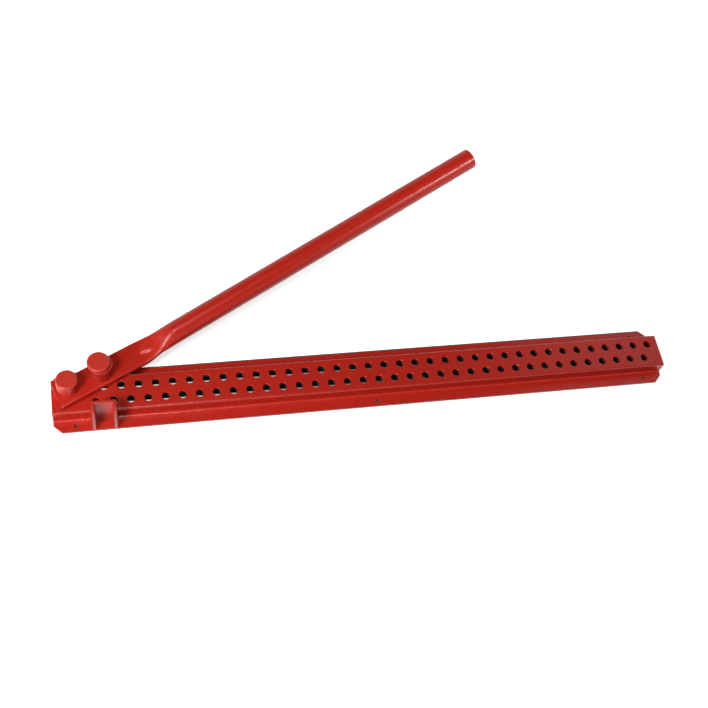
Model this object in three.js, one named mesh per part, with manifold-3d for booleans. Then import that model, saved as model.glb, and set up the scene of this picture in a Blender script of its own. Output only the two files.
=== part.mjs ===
// Rebar stirrup bender: a perforated hat-section rail with a fixed stop, and a tubular lever
// that turns on a pivot pin and carries a second pin with a loose roller.
// Millimetres, +Z up, +X along the rail, +Y away from the side where the bars are laid in.
// Z = 0 is the bench. X = 0 is the pivot axis. Y = 0 is the middle of the front foot's flat underside.

import * as THREE from 'three';
import { mergeVertices } from 'three/addons/utils/BufferGeometryUtils.js';
import Module from 'manifold-3d';

const wasm = await Module();
wasm.setup();

// Clearances and facets
const clearance = 0.3; // between pieces that touch or run on each other
const overrun = 2; // how far every cutter runs past the metal
const turnedSides = 48; // facets round a pin, washer or tube
const holeSides = 20; // facets round a stop hole
const screwHoleSides = 12; // facets round a bench screw hole
const bendSteps = 5; // facets in a sheet bend

// Rail: folded from one sheet
const railLength = 968;
const railWidth = 56; // over the two walls
const railHeight = 25;
const sheet = 3.5;
const topBendRadius = 4.5; // outside of the two upper bends
const footBendRadius = 5; // inside of the two lower bends
const footReach = 19.5; // foot edge beyond the wall
const footClip = 12; // foot corners cut off at 45 degrees
const pivotFromEnd = 24; // pivot axis from the rail's left end
const pivotFromFarWall = 20.3; // pivot axis from the outside of the wall away from the fixed stop

// Stop holes in the top plate and screw holes in the feet
const holeDiameter = 12;
const holePitch = 25;
const rowSpacing = 23.8;
const firstFrontHole = 38.2; // from the pivot axis
const lastHoleFromEnd = 12; // least distance from the last hole's middle to the rail's right end
const screwHoleDiameter = 5.5;
const screwHoleFromEnd = 32.5;
const screwHoleFromWall = 10.5;

// End plates welded inside the rail's ends
const endPlateThickness = 3.5;
const endPlateInset = 1;

// Fixed stop: a short piece of channel that stands on the front foot
const stopWidth = 35;
const stopAbovePlate = 35;
const stopWeb = 4.5;
const stopFlange = 4.5;
const stopCornerRadius = 2;
const stopFromPivot = 31.5; // near side of the stop from the pivot axis

// Pivot: turned pin, spacer ring, doubler, washers and nut
const pivotHeadDiameter = 31.5;
const pivotHeadTop = 37.5; // above the top plate
const pivotShankDiameter = 20;
const pivotThreadDiameter = 16;
const pinChamfer = 1.2;
const pivotEndAboveBench = 1.8;
const spacerDiameter = 42;
const spacerThickness = 4;
const doublerLength = 32;
const doublerFromWall = 4; // room for the weld between the doubler and the wall
const doublerThickness = 4;
const washerDiameter = 30;
const washerThickness = 3;
const springWasherDiameter = 24.5;
const springWasherThickness = 3;
const springWasherSlit = 1.5;
const nutAcrossFlats = 24;
const nutThickness = 7;

// Lever: one tube with its end pressed flat
const leverRestAngle = THREE.MathUtils.degToRad(27); // as photographed, from the rail
const tubeDiameter = 33.7;
const tubeWall = 3.2;
const tubeEndFromPivot = 747.5;
const tubeSlope = THREE.MathUtils.degToRad(6.3);
const tubeAbovePlate = 2; // underside of the tube where the neck ends
const pinsBehindMiddle = 4.5; // line of the two pins from the middle of the pressed head
const tubeAside = 2.2; // middle of the tube from the middle of the head, away from the pins' line
const headThickness = 8;
const headBeyondPivot = 20.5;
const headWidth = 39.6;
const neckStart = 114.5; // from the pivot axis
const neckEnd = 148.5;
const neckSteps = 9;

// Bending pin and its loose roller
const bendingPinFromPivot = 51.3;
const bendingCapDiameter = 33.2;
const bendingCapThickness = 3.5;
const bendingCapTop = 40.9; // above the top plate
const bendingShankDiameter = 22;
const bendingSpigotDiameter = 16;
const plugWeldDepth = 2;
const rollerDiameter = 35;
const rollerWall = 3.2;
const rollerChamfer = 0.6;
const rollerLeanAngle = THREE.MathUtils.degToRad(-40); // side to which the roller hangs, from the rail

// Weld beads
const beadLeg = 3;
const beadSteps = 4;
const stopBeadLength = 14;
const stopFootBeadLength = 11;
const doublerBeadLength = 24;
const endBeadLength = 30;

// Levels and places that follow
const halfWidth = railWidth / 2;
const plateTop = railHeight;
const plateUnderside = railHeight - sheet;
const railLeft = -pivotFromEnd;
const railRight = railLeft + railLength;
const footFlat = footReach - footBendRadius;
const originFromCentreline = halfWidth + footBendRadius + footFlat / 2;
const pivotBehindMiddle = halfWidth - pivotFromFarWall;
const holeRun = railRight - lastHoleFromEnd - firstFrontHole - holePitch / 2; // between first and last in a row
const holesPerRow = Math.floor(holeRun / holePitch) + 1;
const doublerHalfWidth = halfWidth - sheet - doublerFromWall;
const headUnderside = plateTop + spacerThickness + clearance;
const headTop = headUnderside + headThickness;
const threadBore = pivotThreadDiameter + clearance + clearance;
const doublerHigh = plateUnderside - clearance;
const doublerLow = doublerHigh - doublerThickness;
const tubeRadius = tubeDiameter / 2;
const spigotRadius = bendingSpigotDiameter / 2;
const rollerBoreRadius = rollerDiameter / 2 - rollerWall;
const rollerOffset = rollerBoreRadius - bendingShankDiameter / 2 - clearance;

const redPaint = new THREE.Color(0.62, 0.05, 0.03);
const zincGrey = new THREE.Color(0.62, 0.63, 0.64);

function paintedSteel() {
  return new THREE.MeshStandardMaterial({ color: redPaint, roughness: 0.42, metalness: 0 });
}

function zincPlated() {
  return new THREE.MeshStandardMaterial({ color: zincGrey, roughness: 0.35, metalness: 1 });
}

function weldedPaint() {
  return new THREE.MeshStandardMaterial({ color: redPaint, roughness: 0.55, metalness: 0 });
}

function named(name, geometry, material) {
  const mesh = new THREE.Mesh(geometry, material);
  mesh.name = name;
  return mesh;
}

// Closed solid for joins and cuts, from any closed geometry
function toSolid(geometry) {
  const bare = geometry.clone();
  bare.deleteAttribute('normal');
  bare.deleteAttribute('uv');
  const merged = mergeVertices(bare);
  const index = Array.from(merged.index.array);
  const kept = [];
  for (let i = 0; i < index.length; i += 3) {
    const [a, b, c] = index.slice(i, i + 3);
    if (a !== b && b !== c && c !== a) {
      kept.push(a, b, c);
    }
  }
  return new wasm.Manifold(new wasm.Mesh({
    numProp: 3,
    vertProperties: Float32Array.from(merged.attributes.position.array),
    triVerts: Uint32Array.from(kept),
  }));
}

function toGeometry(solid) {
  const mesh = solid.getMesh();
  const geometry = new THREE.BufferGeometry();
  geometry.setAttribute('position', new THREE.BufferAttribute(mesh.vertProperties, 3));
  geometry.setIndex(new THREE.BufferAttribute(mesh.triVerts, 1));
  geometry.computeVertexNormals();
  return geometry;
}

// Points of an arc, from one angle to the other, in degrees
function arc(centreX, centreY, radius, fromDegrees, toDegrees, steps) {
  const points = [];
  for (let i = 0; i <= steps; i += 1) {
    const angle = THREE.MathUtils.degToRad(fromDegrees + ((toDegrees - fromDegrees) * i) / steps);
    points.push(new THREE.Vector2(centreX + radius * Math.cos(angle), centreY + radius * Math.sin(angle)));
  }
  return points;
}

// Outline in X and Y, raised along Z
function raised(outline, height) {
  return new THREE.ExtrudeGeometry(new THREE.Shape(outline), { depth: height, bevelEnabled: false });
}

// Outline in Y and Z, drawn out along X
function drawnAlongX(outline, length) {
  const geometry = raised(outline, length);
  const turn = new THREE.Matrix4().makeBasis(
    new THREE.Vector3(0, 1, 0),
    new THREE.Vector3(0, 0, 1),
    new THREE.Vector3(1, 0, 0),
  );
  return geometry.applyMatrix4(turn);
}

// Profile of radius and height, turned about the Z axis
function turned(profile) {
  const points = profile.map(([radius, height]) => new THREE.Vector2(radius, height));
  return new THREE.LatheGeometry(points, turnedSides).rotateX(Math.PI / 2);
}

// Ring of rectangular section, its edges broken by a chamfer
function ring(outerRadius, innerRadius, low, high, chamfer) {
  return turned([
    [innerRadius, low],
    [outerRadius - chamfer, low],
    [outerRadius, low + chamfer],
    [outerRadius, high - chamfer],
    [outerRadius - chamfer, high],
    [innerRadius, high],
    [innerRadius, low],
  ]);
}

// Upright round cutter
function drill(diameter, low, high, sides, x, y) {
  const height = high - low;
  const geometry = new THREE.CylinderGeometry(diameter / 2, diameter / 2, height, sides);
  geometry.rotateX(Math.PI / 2);
  geometry.translate(x, y, low + height / 2);
  return toSolid(geometry);
}

function block(x0, x1, y0, y1, z0, z1) {
  const geometry = new THREE.BoxGeometry(x1 - x0, y1 - y0, z1 - z0);
  return geometry.translate((x0 + x1) / 2, (y0 + y1) / 2, (z0 + z1) / 2);
}

// Rail, centred on Y = 0 until the whole tool is shifted at the end
function railOutline() {
  const topCentre = halfWidth - topBendRadius;
  const topCentreZ = railHeight - topBendRadius;
  const footCentre = halfWidth + footBendRadius;
  const footCentreZ = sheet + footBendRadius;
  const footEdge = halfWidth + footReach;
  const upper = [
    ...arc(topCentre, topCentreZ, topBendRadius, 90, 0, bendSteps),
    ...arc(footCentre, footCentreZ, footBendRadius, 180, 270, bendSteps),
    new THREE.Vector2(footEdge, sheet),
  ];
  const under = [
    new THREE.Vector2(footEdge, 0),
    ...arc(footCentre, footCentreZ, footBendRadius + sheet, 270, 180, bendSteps),
    ...arc(topCentre, topCentreZ, topBendRadius - sheet, 0, 90, bendSteps),
  ];
  const mirrored = (points) => points.map((p) => new THREE.Vector2(-p.x, p.y)).reverse();
  return [...upper, ...under, ...mirrored(under), ...mirrored(upper)];
}

function stopHolePlaces() {
  const places = [];
  for (let i = 0; i < holesPerRow; i += 1) {
    places.push([firstFrontHole + i * holePitch, -rowSpacing / 2]);
    places.push([firstFrontHole + (i + 1 / 2) * holePitch, rowSpacing / 2]);
  }
  return places;
}

function screwHolePlaces() {
  const line = halfWidth + screwHoleFromWall;
  const along = [railLeft + screwHoleFromEnd, (railLeft + railRight) / 2, railRight - screwHoleFromEnd];
  return along.flatMap((x) => [[x, -line], [x, line]]);
}

// Corner piece that comes off a foot; end and side are -1 or 1
function footCorner(end, side) {
  const x = end < 0 ? railLeft : railRight;
  const y = side * (halfWidth + footReach);
  const reach = footClip + overrun;
  const outline = [
    new THREE.Vector2(x + end * overrun, y + side * overrun),
    new THREE.Vector2(x - end * reach, y + side * overrun),
    new THREE.Vector2(x + end * overrun, y - side * reach),
  ];
  if (end * side < 0) {
    outline.reverse();
  }
  const height = sheet + overrun + overrun;
  return toSolid(raised(outline, height).translate(0, 0, -overrun));
}

function rail() {
  let solid = toSolid(drawnAlongX(railOutline(), railLength).translate(railLeft, 0, 0));
  const low = plateUnderside - overrun;
  for (const [x, y] of stopHolePlaces()) {
    solid = solid.subtract(drill(holeDiameter, low, plateTop + overrun, holeSides, x, y));
  }
  for (const [x, y] of screwHolePlaces()) {
    solid = solid.subtract(drill(screwHoleDiameter, -overrun, sheet + overrun, screwHoleSides, x, y));
  }
  for (const end of [-1, 1]) {
    for (const side of [-1, 1]) {
      solid = solid.subtract(footCorner(end, side));
    }
  }
  solid = solid.subtract(drill(threadBore, low, plateTop + overrun, turnedSides, 0, pivotBehindMiddle));
  return named('rail_channel', toGeometry(solid), paintedSteel());
}

// End plate with its upper corners cut to clear the sheet's inner bends
function endPlate(name, nearX) {
  const half = halfWidth - sheet - clearance;
  const top = plateUnderside - clearance;
  const corner = topBendRadius - sheet + clearance;
  const outline = [
    new THREE.Vector2(-half, 0),
    new THREE.Vector2(half, 0),
    new THREE.Vector2(half, top - corner),
    new THREE.Vector2(half - corner, top),
    new THREE.Vector2(-half + corner, top),
    new THREE.Vector2(-half, top - corner),
  ];
  return named(name, drawnAlongX(outline, endPlateThickness).translate(nearX, 0, 0), paintedSteel());
}

// Fixed stop, open to the front; its lower back edge is coped over the foot's bend
function fixedStop() {
  const back = -halfWidth - clearance;
  const front = -halfWidth - footReach;
  const left = stopFromPivot;
  const right = stopFromPivot + stopWidth;
  const r = stopCornerRadius;
  const innerBack = back - stopWeb;
  const outline = [
    new THREE.Vector2(left, front),
    new THREE.Vector2(left + stopFlange, front),
    ...arc(left + stopFlange + r, innerBack - r, r, 180, 90, bendSteps),
    ...arc(right - stopFlange - r, innerBack - r, r, 90, 0, bendSteps),
    new THREE.Vector2(right - stopFlange, front),
    new THREE.Vector2(right, front),
    ...arc(right - r, back - r, r, 0, 90, bendSteps),
    ...arc(left + r, back - r, r, 90, 180, bendSteps),
  ];
  const low = sheet + clearance;
  const height = plateTop + stopAbovePlate - low;
  const cope = footBendRadius;
  const copeOutline = [
    new THREE.Vector2(back - cope, low - overrun),
    new THREE.Vector2(back + overrun, low - overrun),
    new THREE.Vector2(back + overrun, low + cope + overrun),
    new THREE.Vector2(back, low + cope),
    new THREE.Vector2(back - cope, low),
  ];
  const copeLength = stopWidth + overrun + overrun;
  const coped = drawnAlongX(copeOutline, copeLength).translate(left - overrun, 0, 0);
  const solid = toSolid(raised(outline, height).translate(0, 0, low)).subtract(toSolid(coped));
  return named('fixed_stop', toGeometry(solid), paintedSteel());
}

// Fillet bead in the corner between a floor face (Z = 0) and a wall face (Y = 0), along X
function bead(length) {
  const root = clearance;
  const bulge = beadLeg / 2;
  const outline = [
    new THREE.Vector2(root, root),
    new THREE.Vector2(beadLeg, root),
    ...arc(root, root, Math.hypot(bulge, bulge), 60, 30, beadSteps).reverse(),
    new THREE.Vector2(root, beadLeg),
  ];
  return drawnAlongX(outline, length).translate(-length / 2, 0, 0);
}

// Bead in the corner of two faces, given by the directions in which they face and a point of their corner
function placedBead(name, length, firstFace, secondFace, x, y, z) {
  const first = new THREE.Vector3(...firstFace);
  const second = new THREE.Vector3(...secondFace);
  const along = first.clone().cross(second);
  const mesh = named(name, bead(length), weldedPaint());
  mesh.quaternion.setFromRotationMatrix(new THREE.Matrix4().makeBasis(along, first, second));
  mesh.position.set(x, y, z);
  return mesh;
}

function welds() {
  const left = [-1, 0, 0];
  const right = [1, 0, 0];
  const front = [0, -1, 0];
  const rear = [0, 1, 0];
  const down = [0, 0, -1];
  const up = [0, 0, 1];
  const wall = -halfWidth;
  const stopRight = stopFromPivot + stopWidth;
  const wallMiddle = (sheet + footBendRadius + railHeight - topBendRadius) / 2;
  const footMiddle = wall - footReach + (stopFootBeadLength + beadLeg) / 2;
  const under = plateUnderside;
  const edge = doublerHalfWidth;
  const leftFace = railLeft + endPlateInset + endPlateThickness;
  const rightFace = railRight - endPlateInset - endPlateThickness;
  return [
    placedBead('stop_wall_weld_left', stopBeadLength, left, front, stopFromPivot, wall, wallMiddle),
    placedBead('stop_wall_weld_right', stopBeadLength, front, right, stopRight, wall, wallMiddle),
    placedBead('stop_foot_weld_left', stopFootBeadLength, left, up, stopFromPivot, footMiddle, sheet),
    placedBead('stop_foot_weld_right', stopFootBeadLength, up, right, stopRight, footMiddle, sheet),
    placedBead('doubler_weld_front', doublerBeadLength, front, down, 0, -edge, under),
    placedBead('doubler_weld_rear', doublerBeadLength, rear, down, 0, edge, under),
    placedBead('end_plate_weld_left', endBeadLength, down, right, leftFace, 0, under),
    placedBead('end_plate_weld_right', endBeadLength, left, down, rightFace, 0, under),
  ];
}

// Pivot pin: round head over the lever, shank through lever and spacer, thread through the plate
function pivotPin() {
  const head = pivotHeadDiameter / 2;
  const shank = pivotShankDiameter / 2;
  const thread = pivotThreadDiameter / 2;
  const top = plateTop + pivotHeadTop;
  const bottom = pivotEndAboveBench;
  const seat = plateTop + clearance;
  const headLow = headTop + clearance;
  const profile = [
    [0, bottom],
    [thread - pinChamfer, bottom],
    [thread, bottom + pinChamfer],
    [thread, seat],
    [shank, seat],
    [shank, headLow],
    [head, headLow],
    [head, top - pinChamfer],
    [head - pinChamfer, top],
    [0, top],
  ];
  return named('pivot_pin', turned(profile), paintedSteel());
}

function spacerRing() {
  const bore = pivotShankDiameter / 2 + clearance;
  const geometry = ring(spacerDiameter / 2, bore, plateTop, plateTop + spacerThickness, clearance);
  return named('pivot_spacer', geometry, paintedSteel());
}

// Plate that thickens the top plate from below where the pivot pin passes
function doubler() {
  const half = doublerLength / 2;
  const side = doublerHalfWidth;
  const plate = toSolid(block(-half, half, -side, side, doublerLow, doublerHigh));
  const low = doublerLow - overrun;
  const hole = drill(threadBore, low, doublerHigh + overrun, turnedSides, 0, pivotBehindMiddle);
  return named('pivot_doubler', toGeometry(plate.subtract(hole)), paintedSteel());
}

// Washer, spring washer and nut, stacked downwards from the doubler
function pivotFastening() {
  const washerLow = doublerLow - washerThickness;
  const springLow = washerLow - springWasherThickness;
  const nutLow = springLow - nutThickness;
  const boreRadius = threadBore / 2;
  const edge = clearance;
  const washer = ring(washerDiameter / 2, boreRadius, washerLow, doublerLow, edge);
  const springRing = toSolid(ring(springWasherDiameter / 2, boreRadius, springLow, washerLow, edge));
  const slitHalf = springWasherSlit / 2;
  const slitLow = springLow - overrun;
  const slit = toSolid(block(0, springWasherDiameter, -slitHalf, slitHalf, slitLow, washerLow + overrun));
  const corners = nutAcrossFlats / 2 / Math.cos(Math.PI / 6);
  const hexagon = new THREE.CylinderGeometry(corners, corners, nutThickness, 6);
  hexagon.rotateX(Math.PI / 2);
  hexagon.translate(0, 0, nutLow + nutThickness / 2);
  const nutBore = drill(threadBore, nutLow - overrun, springLow + overrun, turnedSides, 0, 0);
  return [
    named('pivot_washer', washer, zincPlated()),
    named('pivot_spring_washer', toGeometry(springRing.subtract(slit)), zincPlated()),
    named('pivot_nut', toGeometry(toSolid(hexagon).subtract(nutBore)), zincPlated()),
  ];
}

// Lever, along X from the pivot axis, in the group that turns with it
function smooth(share) {
  const s = Math.min(Math.max(share, 0), 1);
  return s * s * (3 - 2 * s);
}

// Section of the lever at a distance from the pivot: place of its middle, half sizes and lean
function leverSection(distance) {
  const neckShare = (distance - neckStart) / (neckEnd - neckStart);
  const pressed = 1 - smooth(neckShare);
  const halfWide = tubeRadius + (headWidth / 2 - tubeRadius) * pressed;
  const halfThick = tubeRadius + (headThickness / 2 - tubeRadius) * pressed;
  const tubeUnderside = plateTop + tubeAbovePlate;
  const rise = Math.max(distance - neckEnd, 0) * Math.tan(tubeSlope);
  const underside = tubeUnderside + (headUnderside - tubeUnderside) * pressed;
  const aside = -pinsBehindMiddle - tubeAside * (1 - pressed);
  const lean = tubeSlope * (1 - pressed);
  return { distance, aside, halfWide, halfThick, middle: underside + halfThick + rise, lean };
}

// Ring of points round a section drawn in by an inset; its two ends are half circles
function sectionRing(section, inset) {
  const half = section.halfThick - inset;
  const flat = section.halfWide - section.halfThick;
  const points = [];
  for (let i = 0; i < turnedSides; i += 1) {
    const angle = ((i + 1 / 2) / turnedSides) * 2 * Math.PI - Math.PI / 2;
    const side = i < turnedSides / 2 ? 1 : -1;
    const across = section.aside + side * flat + half * Math.cos(angle);
    const up = half * Math.sin(angle);
    points.push(new THREE.Vector3(
      section.distance - up * Math.sin(section.lean),
      across,
      section.middle + up * Math.cos(section.lean),
    ));
  }
  return points;
}

// Closed skin over a row of rings, with flat ends
function loft(rings) {
  const positions = rings.flat().flatMap((p) => [p.x, p.y, p.z]);
  const faces = [];
  const count = turnedSides;
  for (let r = 0; r + 1 < rings.length; r += 1) {
    for (let i = 0; i < count; i += 1) {
      const j = (i + 1) % count;
      const a = r * count + i;
      const b = r * count + j;
      faces.push(a, b, b + count, a, b + count, a + count);
    }
  }
  const last = (rings.length - 1) * count;
  for (let i = 1; i + 1 < count; i += 1) {
    faces.push(0, i + 1, i);
    faces.push(last, last + i, last + i + 1);
  }
  const geometry = new THREE.BufferGeometry();
  geometry.setAttribute('position', new THREE.Float32BufferAttribute(positions, 3));
  geometry.setIndex(faces);
  return geometry;
}

function neckDistances() {
  const distances = [];
  for (let i = 0; i <= neckSteps; i += 1) {
    distances.push(neckStart + ((neckEnd - neckStart) * i) / neckSteps);
  }
  return distances;
}

function leverTube() {
  const stations = [-headBeyondPivot, ...neckDistances(), tubeEndFromPivot];
  const skin = toSolid(loft(stations.map((distance) => sectionRing(leverSection(distance), 0))));
  const boreEnd = leverSection(tubeEndFromPivot + overrun);
  const boreSections = [...neckDistances().map(leverSection), boreEnd];
  const bore = toSolid(loft(boreSections.map((section) => sectionRing(section, tubeWall))));
  const low = headUnderside - overrun;
  const high = headTop + overrun;
  const pivotBore = pivotShankDiameter + clearance + clearance;
  const spigotBore = bendingSpigotDiameter + clearance + clearance;
  const solid = skin
    .subtract(bore)
    .subtract(drill(pivotBore, low, high, turnedSides, 0, 0))
    .subtract(drill(spigotBore, low, high, turnedSides, bendingPinFromPivot, 0));
  return named('lever_tube', toGeometry(solid), paintedSteel());
}

// Bending pin: wide cap, shank for the roller, spigot through the pressed head
function bendingPin() {
  const cap = bendingCapDiameter / 2;
  const shank = bendingShankDiameter / 2;
  const top = plateTop + bendingCapTop;
  const capLow = top - bendingCapThickness;
  const seat = headTop + clearance;
  const spigotLow = headUnderside + plugWeldDepth + clearance;
  const profile = [
    [0, spigotLow],
    [spigotRadius, spigotLow],
    [spigotRadius, seat],
    [shank, seat],
    [shank, capLow],
    [cap, capLow],
    [cap, top - pinChamfer],
    [cap - pinChamfer, top],
    [0, top],
  ];
  const mesh = named('bending_pin', turned(profile), paintedSteel());
  mesh.position.x = bendingPinFromPivot;
  return mesh;
}

// Plug of weld metal that holds the spigot, flush with the head's underside
function plugWeld() {
  const profile = [
    [0, headUnderside],
    [spigotRadius, headUnderside],
    [spigotRadius, headUnderside + plugWeldDepth],
    [0, headUnderside + plugWeldDepth],
  ];
  const mesh = named('bending_pin_plug_weld', turned(profile), weldedPaint());
  mesh.position.x = bendingPinFromPivot;
  return mesh;
}

// Roller: a cut of tube that hangs loosely round the bending pin's shank, against one side of it
function roller() {
  const low = headTop + clearance;
  const high = plateTop + bendingCapTop - bendingCapThickness - clearance;
  const geometry = ring(rollerDiameter / 2, rollerBoreRadius, low, high, rollerChamfer);
  const mesh = named('bending_roller', geometry, paintedSteel());
  const leanInLever = rollerLeanAngle - leverRestAngle;
  mesh.position.x = bendingPinFromPivot + rollerOffset * Math.cos(leanInLever);
  mesh.position.y = rollerOffset * Math.sin(leanInLever);
  return mesh;
}

const frame = new THREE.Group();
frame.add(
  rail(),
  endPlate('left_end_plate', railLeft + endPlateInset),
  endPlate('right_end_plate', railRight - endPlateInset - endPlateThickness),
  fixedStop(),
  doubler(),
  ...welds(),
);

const pivot = new THREE.Group();
pivot.position.y = pivotBehindMiddle;
pivot.add(pivotPin(), spacerRing(), ...pivotFastening());
frame.add(pivot);

const lever = new THREE.Group();
lever.rotation.z = leverRestAngle;
lever.position.y = pivotBehindMiddle;
lever.add(leverTube(), bendingPin(), plugWeld(), roller());

const bender = new THREE.Group();
bender.position.y = originFromCentreline;
bender.add(frame, lever);

export default bender;
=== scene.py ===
import math

import bmesh
import bpy
from mathutils import Matrix, Vector


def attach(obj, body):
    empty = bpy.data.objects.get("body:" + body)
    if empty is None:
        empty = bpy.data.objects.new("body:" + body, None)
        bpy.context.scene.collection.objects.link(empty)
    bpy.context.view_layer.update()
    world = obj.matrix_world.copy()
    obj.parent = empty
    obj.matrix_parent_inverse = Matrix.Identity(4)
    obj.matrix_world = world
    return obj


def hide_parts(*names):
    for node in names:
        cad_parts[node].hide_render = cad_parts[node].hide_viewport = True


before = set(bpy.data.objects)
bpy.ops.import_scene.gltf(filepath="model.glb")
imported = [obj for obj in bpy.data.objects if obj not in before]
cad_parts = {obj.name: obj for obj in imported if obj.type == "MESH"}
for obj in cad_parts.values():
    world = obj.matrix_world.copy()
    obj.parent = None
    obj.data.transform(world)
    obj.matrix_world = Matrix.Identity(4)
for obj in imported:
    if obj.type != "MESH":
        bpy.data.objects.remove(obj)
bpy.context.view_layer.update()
MM = 0.001


# Rail: one strip of 3.5 mm steel sheet, punched with two rows of 12 mm stop holes and folded
# into a hat section with two feet. Its foot corners are clipped and the whole rail is sprayed
# with satin red paint after welding.
RAIL_LEFT = -24 * MM
RAIL_RIGHT = 944 * MM
RAIL_MIDDLE = 40.25 * MM
RAIL_HALF = 28 * MM
RAIL_TOP = 25 * MM
SHEET = 3.5 * MM
TOP_BEND = 2.4 * MM
INNER_BEND = 0.5 * MM
FOOT_BEND = 2.5 * MM
FOOT_REACH = 19.5 * MM
FOOT_CLIP = 12 * MM
BEND_STEPS = 10
END_STRIP = 1.2 * MM
BROKEN_EDGE = 0.35 * MM
HOLE_RADIUS = 6 * MM
HOLE_EDGE = 0.6 * MM
HOLE_SIDES = 36
HOLE_PITCH = 25 * MM
HOLES_PER_ROW = 36
FIRST_HOLE = 38.2 * MM
HALF_ROW_SPACING = 11.9 * MM
SCREW_RADIUS = 2.75 * MM
SCREW_SIDES = 20
SCREW_FROM_END = 32.5 * MM
SCREW_FROM_WALL = 10.5 * MM
PIVOT_Y = 47.95 * MM
THREAD_BORE = 8.3 * MM
BORE_SIDES = 48
RIM_SHARE = 0.3
TINY = 1e-6
PEEL_DEPTH = 0.2 * MM
SHARP_TURN = math.radians(32)
FOLDED_TURN = math.radians(50)


def group_sockets(tree, inputs, outputs):
    for name, kind, value in inputs:
        socket = tree.interface.new_socket(name=name, in_out="INPUT", socket_type=kind)
        socket.default_value = value
    for name, kind in outputs:
        tree.interface.new_socket(name=name, in_out="OUTPUT", socket_type=kind)


def linked(tree, kind, inputs, **settings):
    node = tree.nodes.new(kind)
    for name, value in settings.items():
        setattr(node, name, value)
    for name, value in inputs.items():
        if isinstance(value, bpy.types.NodeSocket):
            tree.links.new(value, node.inputs[name])
        else:
            node.inputs[name].default_value = value
    return node


def sprayed_paint_group():
    """Paint that lies thinner in clouds, with a hazy gloss and a fine orange peel."""
    cloud_scale, haze_scale, peel_scale = 26, 70, 620
    haze_share = 0.12
    tree = bpy.data.node_groups.new("sprayed_paint", "ShaderNodeTree")
    group_sockets(
        tree,
        [
            ("Paint", "NodeSocketColor", (0.5, 0.03, 0.02, 1)),
            ("Thin", "NodeSocketColor", (0.3, 0.02, 0.015, 1)),
            ("Gloss", "NodeSocketFloat", 0.3),
            ("Mottle", "NodeSocketFloat", 0.5),
        ],
        [("Color", "NodeSocketColor"), ("Roughness", "NodeSocketFloat"), ("Height", "NodeSocketFloat")],
    )
    given = tree.nodes.new("NodeGroupInput")
    place = tree.nodes.new("ShaderNodeTexCoord")
    spot = place.outputs["Object"]
    cloud = linked(
        tree, "ShaderNodeTexNoise", {"Vector": spot, "Scale": cloud_scale, "Detail": 3, "Roughness": 0.6}
    )
    share = linked(
        tree, "ShaderNodeMath", {0: cloud.outputs["Fac"], 1: given.outputs["Mottle"]}, operation="MULTIPLY"
    )
    colour = linked(
        tree,
        "ShaderNodeMix",
        {"Factor": share.outputs[0], 6: given.outputs["Paint"], 7: given.outputs["Thin"]},
        data_type="RGBA",
    )
    haze = linked(
        tree, "ShaderNodeTexNoise", {"Vector": spot, "Scale": haze_scale, "Detail": 1.5, "Roughness": 0.5}
    )
    gloss = linked(
        tree,
        "ShaderNodeMath",
        {0: haze.outputs["Fac"], 1: haze_share, 2: given.outputs["Gloss"]},
        operation="MULTIPLY_ADD",
    )
    peel = linked(
        tree, "ShaderNodeTexNoise", {"Vector": spot, "Scale": peel_scale, "Detail": 1.5, "Roughness": 0.5}
    )
    made = tree.nodes.new("NodeGroupOutput")
    tree.links.new(colour.outputs[2], made.inputs["Color"])
    tree.links.new(gloss.outputs[0], made.inputs["Roughness"])
    tree.links.new(peel.outputs["Fac"], made.inputs["Height"])
    return tree


SPRAYED_PAINT = sprayed_paint_group()
RED = (0.49, 0.018, 0.008, 1)
THIN_RED = (0.39, 0.013, 0.006, 1)


def painted(name, paint=RED, thin=THIN_RED, gloss=0.34, mottle=0.45, peel=0.05, shine=0.5):
    material = bpy.data.materials.new(name)
    material.use_nodes = True
    tree = material.node_tree
    shader = tree.nodes["Principled BSDF"]
    skin = tree.nodes.new("ShaderNodeGroup")
    skin.node_tree = SPRAYED_PAINT
    skin.inputs["Paint"].default_value = paint
    skin.inputs["Thin"].default_value = thin
    skin.inputs["Gloss"].default_value = gloss
    skin.inputs["Mottle"].default_value = mottle
    bump = tree.nodes.new("ShaderNodeBump")
    bump.inputs["Strength"].default_value = peel
    bump.inputs["Distance"].default_value = PEEL_DEPTH
    tree.links.new(skin.outputs["Height"], bump.inputs["Height"])
    tree.links.new(skin.outputs["Color"], shader.inputs["Base Color"])
    tree.links.new(skin.outputs["Roughness"], shader.inputs["Roughness"])
    tree.links.new(bump.outputs["Normal"], shader.inputs["Normal"])
    shader.inputs["Specular IOR Level"].default_value = shine
    return material


def finished(bm, name, material, body, nodes, smooth=SHARP_TURN):
    """Turns a bmesh into a painted piece that rides on a body and stands for the named nodes."""
    bmesh.ops.remove_doubles(bm, verts=bm.verts[:], dist=TINY)
    bmesh.ops.recalc_face_normals(bm, faces=bm.faces[:])
    mesh = bpy.data.meshes.new(name)
    bm.to_mesh(mesh)
    bm.free()
    mesh.shade_smooth()
    mesh.set_sharp_from_angle(angle=smooth)
    mesh.materials.append(material)
    piece = bpy.data.objects.new(name, mesh)
    bpy.context.scene.collection.objects.link(piece)
    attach(piece, body)
    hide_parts(*nodes)


def extruded_edges(bm, edges, step):
    made = bmesh.ops.extrude_edge_only(bm, edges=edges)["geom"]
    verts = [part for part in made if isinstance(part, bmesh.types.BMVert)]
    bmesh.ops.translate(bm, verts=verts, vec=step)
    return verts, [part for part in made if isinstance(part, bmesh.types.BMEdge)]


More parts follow.
